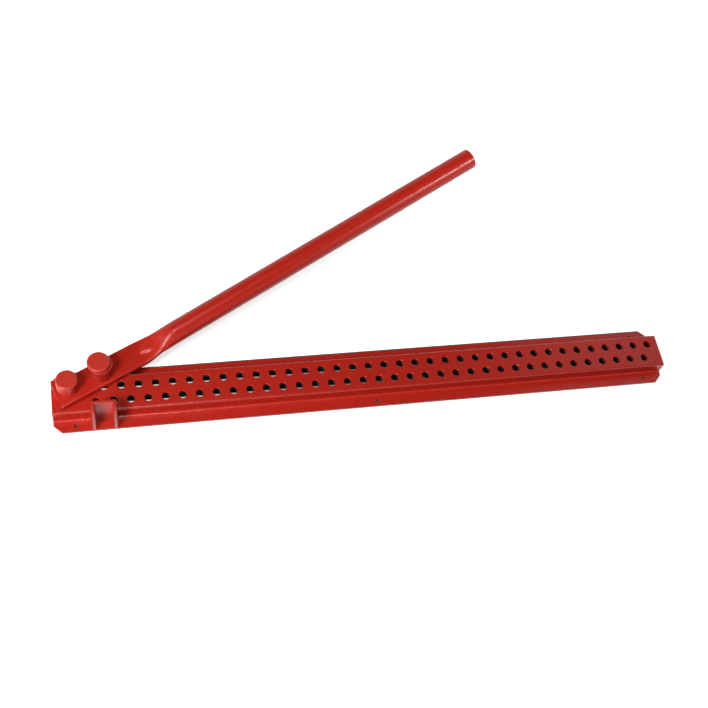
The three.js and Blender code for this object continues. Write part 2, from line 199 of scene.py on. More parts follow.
def hole_wall(bm, radius, sides, edge, x, y, top, bottom):
    """Wall of a punched hole with both rims broken; gives the rims' edges, upper and lower."""
    rim = bmesh.ops.create_circle(bm, cap_ends=False, segments=sides, radius=radius + edge)["verts"]
    bmesh.ops.translate(bm, verts=rim, vec=(x, y, top))
    edges = list({e for v in rim for e in v.link_edges})
    upper = edges
    fall = top - bottom
    part = RIM_SHARE * edge
    levels = [(part, part), (edge, 0), (fall - edge, 0), (fall - part, part), (fall, edge)]
    depth = 0
    for low, flare in levels:
        verts, edges = extruded_edges(bm, edges, (0, 0, depth - low))
        depth = low
        for v in verts:
            out = Vector((v.co.x - x, v.co.y - y, 0)).normalized() * (radius + flare)
            v.co.x = x + out.x
            v.co.y = y + out.y
    return upper, edges


def oblong(left, right, half):
    """Corners of an oblong as wide to each side of the rail's middle as half."""
    front = RAIL_MIDDLE - half
    rear = RAIL_MIDDLE + half
    return [(left, front), (right, front), (right, rear), (left, rear)]


def outline_edges(bm, points, z):
    verts = [bm.verts.new((x, y, z)) for x, y in points]
    return [bm.edges.new((a, b)) for a, b in zip(verts, verts[1:] + verts[:1])]


def filled(bm, edges):
    bmesh.ops.triangle_fill(bm, use_beauty=True, use_dissolve=False, edges=edges)


def bend(cy, cz, radius, start, end):
    """Points along a fold of the sheet, with its centre and its first and last turn in degrees."""
    turns = [math.radians(start + (end - start) * i / BEND_STEPS) for i in range(BEND_STEPS + 1)]
    return [(cy + radius * math.cos(t), cz + radius * math.sin(t)) for t in turns]


def rail_mesh():
    bm = bmesh.new()
    left = RAIL_LEFT + END_STRIP
    right = RAIL_RIGHT - END_STRIP
    flat = RAIL_HALF - TOP_BEND
    under_flat = RAIL_HALF - SHEET - INNER_BEND
    spots = [(0, PIVOT_Y, THREAD_BORE, BORE_SIDES)]
    for i in range(HOLES_PER_ROW):
        along = FIRST_HOLE + i * HOLE_PITCH
        spots.append((along, RAIL_MIDDLE - HALF_ROW_SPACING, HOLE_RADIUS, HOLE_SIDES))
        spots.append((along + HOLE_PITCH / 2, RAIL_MIDDLE + HALF_ROW_SPACING, HOLE_RADIUS, HOLE_SIDES))
    upper = outline_edges(bm, oblong(left, right, flat), RAIL_TOP)
    lower = outline_edges(bm, oblong(left, right, under_flat), RAIL_TOP - SHEET)
    for x, y, radius, sides in spots:
        rim, under = hole_wall(bm, radius, sides, HOLE_EDGE, x, y, RAIL_TOP, RAIL_TOP - SHEET)
        upper += rim
        lower += under
    filled(bm, upper)
    filled(bm, lower)
    for side in (-1, 1):
        near = RAIL_HALF + FOOT_BEND
        far = RAIL_HALF + FOOT_REACH
        strip = [(left, near), (right, near), (right, far), (left, far)]
        foot = [(x, RAIL_MIDDLE + side * y) for x, y in strip]
        foot_top = outline_edges(bm, foot, SHEET)
        foot_under = outline_edges(bm, foot, 0)
        along = (RAIL_LEFT + SCREW_FROM_END, (RAIL_LEFT + RAIL_RIGHT) / 2, RAIL_RIGHT - SCREW_FROM_END)
        for x in along:
            y = RAIL_MIDDLE + side * (RAIL_HALF + SCREW_FROM_WALL)
            rim, under = hole_wall(bm, SCREW_RADIUS, SCREW_SIDES, HOLE_EDGE, x, y, SHEET, 0)
            foot_top += rim
            foot_under += under
        filled(bm, foot_top)
        filled(bm, foot_under)
        top_z = RAIL_TOP - TOP_BEND
        under_z = RAIL_TOP - SHEET - INNER_BEND
        foot_z = SHEET + FOOT_BEND
        outer = bend(flat, top_z, TOP_BEND, 90, 0)
        outer += bend(near, foot_z, FOOT_BEND, 180, 270)
        inner = bend(under_flat, under_z, INNER_BEND, 90, 0)
        inner += bend(near, foot_z, FOOT_BEND + SHEET, 180, 270)
        for profile in (outer, inner, [(far, SHEET), (far, 0)]):
            start = profile[0]
            ends = [bm.verts.new((x, RAIL_MIDDLE + side * start[0], start[1])) for x in (left, right)]
            edges = [bm.edges.new(ends)]
            for (y0, z0), (y1, z1) in zip(profile, profile[1:]):
                edges = extruded_edges(bm, edges, (0, side * (y1 - y0), z1 - z0))[1]
    bmesh.ops.remove_doubles(bm, verts=bm.verts[:], dist=TINY)
    for end, way in ((left, -1), (right, 1)):
        edges = [e for e in bm.edges if e.is_boundary and all(abs(v.co.x - end) < TINY for v in e.verts)]
        edges = extruded_edges(bm, edges, (way * END_STRIP, 0, 0))[1]
        bmesh.ops.edgeloop_fill(bm, edges=edges)
    for end, way in ((RAIL_LEFT, -1), (RAIL_RIGHT, 1)):
        for side in (-1, 1):
            corner = Vector((end - way * FOOT_CLIP, RAIL_MIDDLE + side * (RAIL_HALF + FOOT_REACH), 0))
            parts = bm.verts[:] + bm.edges[:] + bm.faces[:]
            cut = bmesh.ops.bisect_plane(
                bm, geom=parts, dist=0.1 * TINY, plane_co=corner, plane_no=(way, side, 0), clear_outer=True
            )
            rim = [g for g in cut["geom_cut"] if isinstance(g, bmesh.types.BMEdge)]
            bmesh.ops.edgeloop_fill(bm, edges=rim)
    bmesh.ops.recalc_face_normals(bm, faces=bm.faces[:])
    sharp = []
    for e in bm.edges:
        if len(e.link_faces) != 2 or e.calc_face_angle() < FOLDED_TURN:
            continue
        low_foot = all(v.co.z < SHEET + TINY for v in e.verts)
        at_end = all(v.co.x < left - TINY or v.co.x > right + TINY for v in e.verts)
        edge_of_foot = all(abs(abs(v.co.y - RAIL_MIDDLE) - RAIL_HALF - FOOT_REACH) < TINY for v in e.verts)
        if at_end or (low_foot and edge_of_foot):
            sharp.append(e)
    bmesh.ops.bevel(
        bm, geom=sharp, offset=BROKEN_EDGE, offset_type="OFFSET", segments=2, profile=0.5,
        affect="EDGES", material=-1, clamp_overlap=False,
    )
    return bm


RAIL_PAINT = painted("rail_satin_red", gloss=0.22, mottle=0.4)
FLAT_TURN = math.radians(20)
finished(rail_mesh(), "rail", RAIL_PAINT, "bench_side", ["rail_channel"], FLAT_TURN)


# End plates: flat pieces of the same sheet, cut to the inside of the hat section, pushed just
# inside each end of the rail and welded along the top; painted with the rail.
PLATE_INSET = 1 * MM
PLATE_GAP = 0.3 * MM


def end_plate_mesh(near):
    bm = bmesh.new()
    half = RAIL_HALF - SHEET - PLATE_GAP
    top = RAIL_TOP - SHEET - PLATE_GAP
    corner = INNER_BEND + PLATE_GAP
    shoulder = top - corner
    outline = [
        (-half, 0), (half, 0), (half, shoulder), (half - corner, top), (corner - half, top), (-half, shoulder),
    ]
    verts = [bm.verts.new((near, RAIL_MIDDLE + y, z)) for y, z in outline]
    face = bm.faces.new(verts)
    solid = bmesh.ops.extrude_face_region(bm, geom=[face])["geom"]
    far = [part for part in solid if isinstance(part, bmesh.types.BMVert)]
    bmesh.ops.translate(bm, verts=far, vec=(SHEET, 0, 0))
    bmesh.ops.recalc_face_normals(bm, faces=bm.faces[:])
    bmesh.ops.bevel(
        bm, geom=bm.edges[:], offset=BROKEN_EDGE, offset_type="OFFSET", segments=2, profile=0.5,
        affect="EDGES", material=-1,
    )
    return bm


for plate_name, near_x in (
    ("left_end_plate", RAIL_LEFT + PLATE_INSET),
    ("right_end_plate", RAIL_RIGHT - PLATE_INSET - SHEET),
):
    finished(end_plate_mesh(near_x), plate_name + "_cut", RAIL_PAINT, "bench_side", [plate_name])


# Fixed stop: a short cut of small rolled channel that stands upright on the front foot with its
# open side to the front. Its lower back edge is coped over the foot's bend; welded to wall and foot.
STOP_LEFT = 31.5 * MM
STOP_WIDE = 35 * MM
STOP_WEB = 4.5 * MM
STOP_FLANGE = 4.5 * MM
STOP_CORNER = 2 * MM
STOP_ROOT = 3 * MM
STOP_TOP = 60 * MM
STOP_COPE = 5 * MM
STOP_LOW = 3.8 * MM
STOP_GAP = 0.3 * MM
STOP_EDGE = 0.6 * MM
ROOT_STEPS = 6
CORNER_STEPS = 5
SQUARE_TURN = math.radians(40)


def arc_points(cx, cy, radius, start, end, steps):
    """Points round an arc of the channel's section, from start to end in degrees."""
    turns = [math.radians(start + (end - start) * i / steps) for i in range(steps + 1)]
    return [(cx + radius * math.cos(t), cy + radius * math.sin(t)) for t in turns]


def stop_mesh():
    bm = bmesh.new()
    back = RAIL_MIDDLE - RAIL_HALF - STOP_GAP
    front = RAIL_MIDDLE - RAIL_HALF - FOOT_REACH
    left = STOP_LEFT
    right = STOP_LEFT + STOP_WIDE
    web = back - STOP_WEB
    outline = [(left, front), (left + STOP_FLANGE, front)]
    outline += arc_points(left + STOP_FLANGE + STOP_ROOT, web - STOP_ROOT, STOP_ROOT, 180, 90, ROOT_STEPS)
    outline += arc_points(right - STOP_FLANGE - STOP_ROOT, web - STOP_ROOT, STOP_ROOT, 90, 0, ROOT_STEPS)
    outline += [(right - STOP_FLANGE, front), (right, front)]
    outline += arc_points(right - STOP_CORNER, back - STOP_CORNER, STOP_CORNER, 0, 90, CORNER_STEPS)
    outline += arc_points(left + STOP_CORNER, back - STOP_CORNER, STOP_CORNER, 90, 180, CORNER_STEPS)
    verts = [bm.verts.new((x, y, STOP_LOW)) for x, y in outline]
    face = bm.faces.new(verts)
    solid = bmesh.ops.extrude_face_region(bm, geom=[face])["geom"]
    upper = [part for part in solid if isinstance(part, bmesh.types.BMVert)]
    bmesh.ops.translate(bm, verts=upper, vec=(0, 0, STOP_TOP - STOP_LOW))
    parts = bm.verts[:] + bm.edges[:] + bm.faces[:]
    cut = bmesh.ops.bisect_plane(
        bm, geom=parts, dist=0.1 * TINY, plane_co=(0, back, STOP_LOW + STOP_COPE), plane_no=(0, 1, -1),
        clear_outer=True,
    )
    rim = [g for g in cut["geom_cut"] if isinstance(g, bmesh.types.BMEdge)]
    bmesh.ops.edgeloop_fill(bm, edges=rim)
    bmesh.ops.recalc_face_normals(bm, faces=bm.faces[:])
    sharp = [e for e in bm.edges if len(e.link_faces) == 2 and e.calc_face_angle() > SQUARE_TURN]
    bmesh.ops.bevel(
        bm, geom=sharp, offset=STOP_EDGE, offset_type="OFFSET", segments=3, profile=0.5,
        affect="EDGES", material=-1,
    )
    return bm


STOP_RED = (0.45, 0.017, 0.008, 1)
STOP_PAINT = painted("stop_satin_red", paint=STOP_RED, mottle=0.3)
finished(stop_mesh(), "fixed_stop_channel", STOP_PAINT, "bench_side", ["fixed_stop"])


# Weld beads: short fillets laid by hand along the stop, the doubler and the end plates, with the
# ripples of the moving pool, painted over with everything else.
BEAD_LEG = 3 * MM
BEAD_TURNS = 14
BEAD_PITCH = 1.1 * MM
RINGS_PER_RIPPLE = 4
RIPPLE_LOW = 0.86
RIPPLE_RISE = 0.1
WOBBLE = 0.04
WOBBLE_TURN = 1.7
END_SHARE = 0.35
END_RATE = 6
BOW = 0.6 * MM
BEAD_TURN = math.radians(50)
WELD_PAINT = painted("weld_satin_red", gloss=0.38, mottle=0.6, peel=0.2)


def bead(name, length, along, middle, into):
    """A rippled bead along a corner; into points from its middle line into the metal."""
    bm = bmesh.new()
    ring = bmesh.ops.create_circle(bm, cap_ends=False, segments=BEAD_TURNS, radius=BEAD_LEG * 0.5)["verts"]
    along = Vector(along).normalized()
    into = Vector(into).normalized()
    across = along.cross(into)
    turn = Matrix((across, into, along)).transposed()
    bmesh.ops.rotate(bm, verts=ring, matrix=turn)
    steps = int(length / (BEAD_PITCH / RINGS_PER_RIPPLE))
    start = Vector(middle) - along * length / 2
    bmesh.ops.translate(bm, verts=ring, vec=start)
    edges = list({e for v in ring for e in v.link_edges})
    rings = [list(ring)]
    for _ in range(steps):
        verts, edges = extruded_edges(bm, edges, along * length / steps)
        rings.append(verts)
    for i, verts in enumerate(rings):
        centre = start + along * length * i / steps
        share = i / steps
        wave = math.sin(math.pi * i / RINGS_PER_RIPPLE)
        ripple = RIPPLE_LOW + RIPPLE_RISE * abs(wave) + WOBBLE * math.sin(i * WOBBLE_TURN)
        taper = min(1, END_SHARE + END_RATE * share, END_SHARE + END_RATE * (1 - share))
        bmesh.ops.scale(bm, verts=verts, vec=[ripple * taper] * 3, space=Matrix.Translation(-centre))
        bmesh.ops.translate(bm, verts=verts, vec=along * BOW * wave ** 2)
    for verts in (rings[0], rings[-1]):
        bmesh.ops.contextual_create(bm, geom=verts)
    finished(bm, name + "_rippled", WELD_PAINT, "bench_side", [name], BEAD_TURN)


INSET = 0.9 * MM
WALL_BEAD = 14 * MM
WALL_BEAD_MIDDLE = 14.5 * MM
FOOT_BEAD = 11 * MM
FOOT_BEAD_BACK = 7 * MM
DOUBLER_BEAD = 24 * MM
DOUBLER_HALF = 20.5 * MM
PLATE_BEAD = 30 * MM
UP, ALONG_RAIL, ACROSS_RAIL = (0, 0, 1), (1, 0, 0), (0, 1, 0)
wall_y = RAIL_MIDDLE - RAIL_HALF
foot_y = wall_y - FOOT_REACH + FOOT_BEAD_BACK
stop_left = STOP_LEFT - INSET
stop_right = STOP_LEFT + STOP_WIDE + INSET
under = RAIL_TOP - SHEET - INSET
doubler_front = RAIL_MIDDLE - DOUBLER_HALF - INSET
doubler_rear = RAIL_MIDDLE + DOUBLER_HALF + INSET
plate_left = RAIL_LEFT + PLATE_INSET + SHEET + INSET
plate_right = RAIL_RIGHT - PLATE_INSET - SHEET - INSET
for bead_name, bead_long, bead_way, bead_spot, bead_into in (
    ("stop_wall_weld_left", WALL_BEAD, UP, (stop_left, wall_y - INSET, WALL_BEAD_MIDDLE), (1, 1, 0)),
    ("stop_wall_weld_right", WALL_BEAD, UP, (stop_right, wall_y - INSET, WALL_BEAD_MIDDLE), (-1, 1, 0)),
    ("stop_foot_weld_left", FOOT_BEAD, ACROSS_RAIL, (stop_left, foot_y, SHEET + INSET), (1, 0, -1)),
    ("stop_foot_weld_right", FOOT_BEAD, ACROSS_RAIL, (stop_right, foot_y, SHEET + INSET), (-1, 0, -1)),
    ("doubler_weld_front", DOUBLER_BEAD, ALONG_RAIL, (0, doubler_front, under), (0, 1, 1)),
    ("doubler_weld_rear", DOUBLER_BEAD, ALONG_RAIL, (0, doubler_rear, under), (0, -1, 1)),
    ("end_plate_weld_left", PLATE_BEAD, ACROSS_RAIL, (plate_left, RAIL_MIDDLE, under), (-1, 0, 1)),
    ("end_plate_weld_right", PLATE_BEAD, ACROSS_RAIL, (plate_right, RAIL_MIDDLE, under), (1, 0, 1)),
):
    bead(bead_name, bead_long, bead_way, bead_spot, bead_into)


# Pivot pin: turned from round bar with a smooth drum head over the lever, a shank on which the
# lever turns and a thread below, held through the rail's plate and doubler by a nut.
PIN_RED = (0.54, 0.030, 0.016, 1)
PIN_PAINT = painted("pin_satin_red", paint=PIN_RED, gloss=0.34, mottle=0.3)
PIVOT_SIDES = 72
HEAD_TOP = 37.3 * MM
HEAD_RADIUS = 15.75 * MM
PIN_TOP = 62.5 * MM
PIN_EDGE = 1.2 * MM
CAP_EDGE = 1.7 * MM
SHANK_RADIUS = 10 * MM
THREAD_RADIUS = 8 * MM
THREAD_PITCH = 2 * MM
THREAD_DEPTH = 1.1 * MM
THREAD_END = 20 * MM
PIN_LOW = 1.8 * MM
HEAD_LIP = 0.4 * MM
SOFTENED = 0.3 * MM
FLAT_RING = 3.2 * MM
GAP = 0.3 * MM


def turned(profile, x, y, sides, closed=False):
    """Spins a profile of radius and height about the upright axis through x, y."""
    bm = bmesh.new()
    verts = [bm.verts.new((radius, 0, z)) for radius, z in profile]
    pairs = list(zip(verts, verts[1:] + (verts[:1] if closed else [])))
    edges = [bm.edges.new(pair) for pair in pairs]
    bmesh.ops.spin(
        bm, geom=verts + edges, cent=(0, 0, 0), axis=(0, 0, 1), dvec=(0, 0, 0), angle=2 * math.pi,
        steps=sides, use_merge=True, use_duplicate=False,
    )
    bmesh.ops.remove_doubles(bm, verts=bm.verts[:], dist=TINY)
    bmesh.ops.translate(bm, verts=bm.verts[:], vec=(x, y, 0))
    return bm


def rounded(radius, z, edge):
    """Quarter round in a profile, from the flank at radius to the flat at z."""
    points = []
    steps = 4
    for i in range(steps + 1):
        t = math.radians(90 * i / steps)
        points.append((radius - edge * (1 - math.cos(t)), z - edge * (1 - math.sin(t))))
    return points


def chamfered(radius, z, edge, softened):
    """Turned chamfer in a profile, from the flank up to the flat at z, with its two corners softened."""
    inward = 0.3 * softened
    onward = 0.1 * softened
    return [
        (radius, z - edge - softened),
        (radius - inward, z - edge + onward),
        (radius - edge + onward, z - inward),
        (radius - edge - softened, z),
    ]


def thread(radius, low, high, pitch, depth):
    """Ridges of a thread in a profile, as rings without a lead."""
    points = []
    z = low
    while z + pitch < high:
        points += [(radius, z + 0.1 * pitch), (radius - depth, z + 0.5 * pitch), (radius, z + 0.9 * pitch)]
        z += pitch
    return points


plate_seat = RAIL_TOP + GAP
lever_seat = HEAD_TOP + GAP
pivot_profile = [(0, PIN_LOW), (THREAD_RADIUS - PIN_EDGE, PIN_LOW), (THREAD_RADIUS, PIN_LOW + PIN_EDGE)]
pivot_profile += thread(THREAD_RADIUS, PIN_LOW + PIN_EDGE, THREAD_END, THREAD_PITCH, THREAD_DEPTH)
pivot_profile += [(THREAD_RADIUS, THREAD_END), (THREAD_RADIUS, plate_seat), (SHANK_RADIUS, plate_seat)]
pivot_profile += [(SHANK_RADIUS, lever_seat), (HEAD_RADIUS - HEAD_LIP, lever_seat)]
pivot_profile += [(HEAD_RADIUS, lever_seat + HEAD_LIP)]
pivot_profile += chamfered(HEAD_RADIUS, PIN_TOP, CAP_EDGE, SOFTENED)
pivot_profile += [(HEAD_RADIUS - FLAT_RING, PIN_TOP), (0, PIN_TOP)]
finished(
    turned(pivot_profile, 0, PIVOT_Y, PIVOT_SIDES),
    "pivot_pin_turned", PIN_PAINT, "bench_side", ["pivot_pin"],
)


# Spacer ring: a thick washer under the lever's head that lifts it clear of the rail's plate and
# carries the lever as it turns; loose on the pivot's shank, painted over.
SPACER_RADIUS = 21 * MM
SPACER_TOP = 29 * MM
SPACER_EDGE = 0.5 * MM
spacer_bore = SHANK_RADIUS + GAP
spacer_profile = [(spacer_bore, RAIL_TOP), (SPACER_RADIUS - SOFTENED, RAIL_TOP)]
spacer_profile += [(SPACER_RADIUS, RAIL_TOP + SOFTENED)]
spacer_profile += rounded(SPACER_RADIUS, SPACER_TOP, SPACER_EDGE)
spacer_profile += [(spacer_bore, SPACER_TOP)]
finished(
    turned(spacer_profile, 0, PIVOT_Y, PIVOT_SIDES, closed=True),
    "pivot_spacer_ring", PIN_PAINT, "bench_side", ["pivot_spacer"],
)


# Washer, spring washer and nut under the plate: bought zinc-plated parts, fitted after the
# paint, so they keep their bright plating. The CAD's own shapes are shown for them.
def plated(name, colour, rough):
    """Plating whose bloom dulls it in small patches."""
    bloom_scale, bloom_dark, bloom_dull = 180, 0.7, 0.2
    material = bpy.data.materials.new(name)
    material.use_nodes = True
    tree = material.node_tree
    shader = tree.nodes["Principled BSDF"]
    shader.inputs["Metallic"].default_value = 1
    spot = tree.nodes.new("ShaderNodeTexCoord").outputs["Object"]
    bloom = linked(
        tree, "ShaderNodeTexNoise", {"Vector": spot, "Scale": bloom_scale, "Detail": 4, "Roughness": 0.6}
    )
    darker = [bloom_dark * c for c in colour[:3]] + [1]
    tint = linked(tree, "ShaderNodeMix", {"Factor": bloom.outputs["Fac"], 6: colour, 7: darker}, data_type="RGBA")
    dull = linked(
        tree, "ShaderNodeMath", {0: bloom.outputs["Fac"], 1: bloom_dull, 2: rough}, operation="MULTIPLY_ADD"
    )
    tree.links.new(tint.outputs[2], shader.inputs["Base Color"])
    tree.links.new(dull.outputs[0], shader.inputs["Roughness"])
    return material


ZINC = plated("bright_zinc", (0.66, 0.67, 0.68, 1), 0.25)
for fastener in ("pivot_washer", "pivot_spring_washer", "pivot_nut"):
    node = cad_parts[fastener]
    node.data.materials.clear()
    node.data.materials.append(ZINC)


# Doubler: a small plate welded under the rail's top plate to thicken it where the pivot pin
# passes; painted with the rail. The CAD's own shape is shown.
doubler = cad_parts["pivot_doubler"]
doubler.data.materials.clear()
doubler.data.materials.append(RAIL_PAINT)


# Lever: one length of 33.7 mm steel tube. Its end was heated and pressed flat into a long parallel
# head, which left a small pointed lip on the neck, then drilled for both pins and painted.
LEVER_TURN = math.radians(27)
LEVER_SIDES = 96
NECK_STEPS = 56
TUBE_RADIUS = 16.85 * MM
TUBE_WALL = 3.2 * MM
TUBE_END = 747.5 * MM
TUBE_SLOPE = math.radians(6.3)
TUBE_LIFT = 2 * MM
HEAD_ASIDE = -4.5 * MM
TUBE_ASIDE = 2.2 * MM
HEAD_UNDER = 29.3 * MM
HEAD_THICK = 8 * MM
HEAD_WIDE = 39.6 * MM
HEAD_END = -20.5 * MM
NECK_START = 114.5 * MM
NECK_END = 148.5 * MM
HEAD_SQUARE = 0.76
CUT_SKEW = 2.5 * MM
CROWN_END = 176 * MM
LIP_START = 115.5 * MM
LIP_LONG = 26 * MM
LIP_RISE = 2.4 * MM
LIP_TIP = 0.2
LIP_SPREAD = 0.5
LIP_PEAK = 27 / 4
CUT_EDGE = 0.4 * MM
CUT_LONG = 0.5 * MM
HEAD_STATIONS = [HEAD_END, HEAD_END + 1 * MM, -16 * MM, 0, 40 * MM, 60 * MM, 100 * MM]
TUBE_STATIONS = [240 * MM, 330 * MM, 470 * MM, 610 * MM]
BORE_STATIONS = [470 * MM, 240 * MM]
BORE_SHORT_BY = 12
LEVER_PAINT = painted("lever_satin_red", gloss=0.24, mottle=0.4, shine=0.3)


def smooth_share(value):
    s = min(max(value, 0), 1)
    return s * s * (3 - 2 * s)


def lever_section(along, share):
    """Half sizes, level, side place and lean of a section that is a share of the way from flat to round."""
    pressed = 1 - share
    wide = TUBE_RADIUS + (HEAD_WIDE / 2 - TUBE_RADIUS) * pressed
    thick = TUBE_RADIUS + (HEAD_THICK / 2 - TUBE_RADIUS) * pressed
    tube_under = RAIL_TOP + TUBE_LIFT
    rise = max(along - NECK_END, 0) * math.tan(TUBE_SLOPE)
    under = tube_under + (HEAD_UNDER - tube_under) * pressed
    aside = HEAD_ASIDE - TUBE_ASIDE * share
    return wide, thick, under + thick + rise, aside, TUBE_SLOPE * share


def lip_rise(along, across):
    """Height of the small pointed lip that the press left on the middle of the neck, ahead of the rising tube."""
    run = min(max((along - LIP_START) / LIP_LONG, 0), 1)
    half = LIP_TIP + LIP_SPREAD * run
    side = max(1 - (across / half) ** 2, 0) ** 2
    return LIP_RISE * LIP_PEAK * run * (1 - run) ** 2 * side


def skin_height(across, power):
    """Height of a rounded oblong of half size 1 at a place across it."""
    return max(1 - abs(across) ** (2 / power), 0) ** (power / 2)


def lever_points(along, inset):
    """One ring round the lever. Over the neck the upper skin rises later than the under side does."""
    share = smooth_share((along - NECK_START) / (NECK_END - NECK_START))
    wide, thick, middle, aside, lean = lever_section(along, share)
    power = 1 - HEAD_SQUARE * (1 - share)
    points = []
    for i in range(LEVER_SIDES):
        t = 2 * math.pi * (i + 0.5) / LEVER_SIDES
        across = math.cos(t)
        up = (thick - inset) * math.copysign(skin_height(across, power), math.sin(t))
        if up > 0 and NECK_START < along < CROWN_END:
            crown = smooth_share((along - NECK_START) / (CROWN_END - NECK_START))
            risen = lever_section(along, crown)
            round_power = 1 - HEAD_SQUARE * (1 - crown) ** 2
            rise = risen[2] + risen[1] - middle - inset
            up = rise * skin_height(across, round_power) + lip_rise(along, across)
        skew = min(max(along / HEAD_END, 0), 1) * CUT_SKEW * across
        place = along + skew - up * math.sin(lean)
        points.append((place, aside + (wide - inset) * across, middle + up * math.cos(lean)))
    return points


def lever_mesh():
    """One skin from the pressed end along the outside, round the open end and back up the bore."""
    bm = bmesh.new()
    neck = [NECK_START + (CROWN_END - NECK_START) * i / NECK_STEPS for i in range(NECK_STEPS + 1)]
    near_end = TUBE_END - CUT_LONG
    outside = HEAD_STATIONS + neck + TUBE_STATIONS + [near_end, TUBE_END]
    inside = [TUBE_END, near_end] + BORE_STATIONS + neck[:BORE_SHORT_BY - 1:-1]
    rings = [(x, 0) for x in outside] + [(x, TUBE_WALL) for x in inside]
    ring = bmesh.ops.create_circle(bm, cap_ends=False, segments=LEVER_SIDES, radius=TUBE_RADIUS)["verts"]
    edges = list({e for v in ring for e in v.link_edges})
    order = sorted(ring, key=lambda v: math.atan2(v.co.y, v.co.x) % (2 * math.pi))
    for i, (x, inset_by) in enumerate(rings):
        if i:
            made = bmesh.ops.extrude_edge_only(bm, edges=edges)["geom"]
            edges = [part for part in made if isinstance(part, bmesh.types.BMEdge)]
            fresh = {part for part in made if isinstance(part, bmesh.types.BMVert)}
            order = [next(e.other_vert(v) for e in v.link_edges if e.other_vert(v) in fresh) for v in order]
        shrink = CUT_EDGE if x in (HEAD_END, TUBE_END) and inset_by == 0 else 0
        grow = CUT_EDGE if x == TUBE_END and inset_by else 0
        for v, point in zip(order, lever_points(x, inset_by + shrink - grow)):
            v.co = point
    loops = [e for e in bm.edges if e.is_boundary]
    bmesh.ops.holes_fill(bm, edges=loops, sides=0)
    turn = Matrix.Translation((0, PIVOT_Y, 0)) @ Matrix.Rotation(LEVER_TURN, 4, "Z")
    bmesh.ops.transform(bm, matrix=turn, verts=bm.verts[:])
    return bm


finished(lever_mesh(), "lever", LEVER_PAINT, "lever", ["lever_tube"])


# Bending pin: a turned pin with a thin wide cap, set through the lever's head and plug-welded
# from below; the cap keeps the roller on.
BENDING_OUT = 51.3 * MM
BENDING_X = BENDING_OUT * math.cos(LEVER_TURN)
BENDING_Y = PIVOT_Y + BENDING_OUT * math.sin(LEVER_TURN)
CAP_RADIUS = 16.6 * MM
CAP_TOP = 65.9 * MM
CAP_THICK = 3.5 * MM
BENDING_SHANK = 11 * MM
SPIGOT_RADIUS = 8 * MM
PLUG_TOP = 31.6 * MM
cap_low = CAP_TOP - CAP_THICK
bending_profile = [(0, PLUG_TOP), (SPIGOT_RADIUS, PLUG_TOP)]
bending_profile += [(SPIGOT_RADIUS, lever_seat), (BENDING_SHANK, lever_seat)]
bending_profile += [(BENDING_SHANK, cap_low), (CAP_RADIUS - HEAD_LIP, cap_low), (CAP_RADIUS, cap_low + HEAD_LIP)]
bending_profile += chamfered(CAP_RADIUS, CAP_TOP, CAP_EDGE, SOFTENED)
bending_profile += [(CAP_RADIUS - FLAT_RING, CAP_TOP), (0, CAP_TOP)]
finished(
    turned(bending_profile, BENDING_X, BENDING_Y, PIVOT_SIDES),
    "bending_pin_turned", PIN_PAINT, "lever", ["bending_pin"],
)
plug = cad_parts["bending_pin_plug_weld"]
plug.data.materials.clear()
plug.data.materials.append(WELD_PAINT)


# Roller: a short cut of steel tube that hangs loose round the bending pin and turns on it as the
# bar is drawn round; painted with the lever, its cut rims broken by a file.
ROLLER_RADIUS = 17.5 * MM
ROLLER_WALL = 3.2 * MM
ROLLER_EDGE = 0.6 * MM
ROLLER_LEAN = math.radians(-40)
roller_bore = ROLLER_RADIUS - ROLLER_WALL
roller_off = roller_bore - BENDING_SHANK - GAP
roller_x = BENDING_X + roller_off * math.cos(ROLLER_LEAN)
roller_y = BENDING_Y + roller_off * math.sin(ROLLER_LEAN)
roller_high = cap_low - GAP
roller_profile = [(roller_bore, lever_seat), (ROLLER_RADIUS - ROLLER_EDGE, lever_seat)]
roller_profile += [(ROLLER_RADIUS, lever_seat + ROLLER_EDGE)]
roller_profile += rounded(ROLLER_RADIUS, roller_high, ROLLER_EDGE)
roller_profile += [(roller_bore, roller_high)]
ROLLER_RED = (0.41, 0.014, 0.007, 1)
ROLLER_PAINT = painted("roller_satin_red", paint=ROLLER_RED, gloss=0.34, mottle=0.2)
finished(
    turned(roller_profile, roller_x, roller_y, PIVOT_SIDES, closed=True),
    "roller_tube", ROLLER_PAINT, "roller", ["bending_roller"],
)


# Floor and backdrop: one wide sheet of plain pale paper under and all round the tool. To the camera
# and in reflections it is white. Under the rail it is painted dark as painted shade, darkest under
# the feet and in a painted contact shadow along the rear foot, apart from two narrow glowing strips
# of painted light that stand in for the overhead light falling through the stop holes near the
# pivot end.
PAPER_RADIUS = 5.5
PAPER_RISE = 4.5
PAPER_DROP = 0.5 * MM
PAPER_SIDES = 96
TOOL_MIDDLE = (0.43, 0.2, 0)
NEAR_GLOW = 0.68
FAR_FROM = 0.5
FAR_TO = 0.75
FOOTPRINT_EDGE = 0.6 * MM
# Width of a painted contact shadow: a band of dark paper along the rear foot's outer edge.
PAINTED_CONTACT_SHADOW = 4.2 * MM
# Painted shade: dark paper tones under the rail and under its feet, seen through the stop and screw holes.
UNDER_RAIL_PAINTED_SHADE = 0.22
UNDER_FOOT_PAINTED_SHADE = 0.1
DIM_TONE = 0.04
# Painted light: two glowing strips under the rail that stand in for the overhead light falling through the stop
# holes.
PAINTED_LIGHT_STRIPS = (34.6 * MM, 59 * MM)
PAINTED_LIGHT_GLOW = 0.8
PAINTED_LIGHT_WIDE = 1.9 * MM
PAINTED_LIGHT_FADE = 0.5


def reckoned(tree, operation, first, second=None, third=None):
    """Output of one Math node over sockets or numbers."""
    given = {place: value for place, value in enumerate((first, second, third)) if value is not None}
    return linked(tree, "ShaderNodeMath", given, operation=operation).outputs[0]


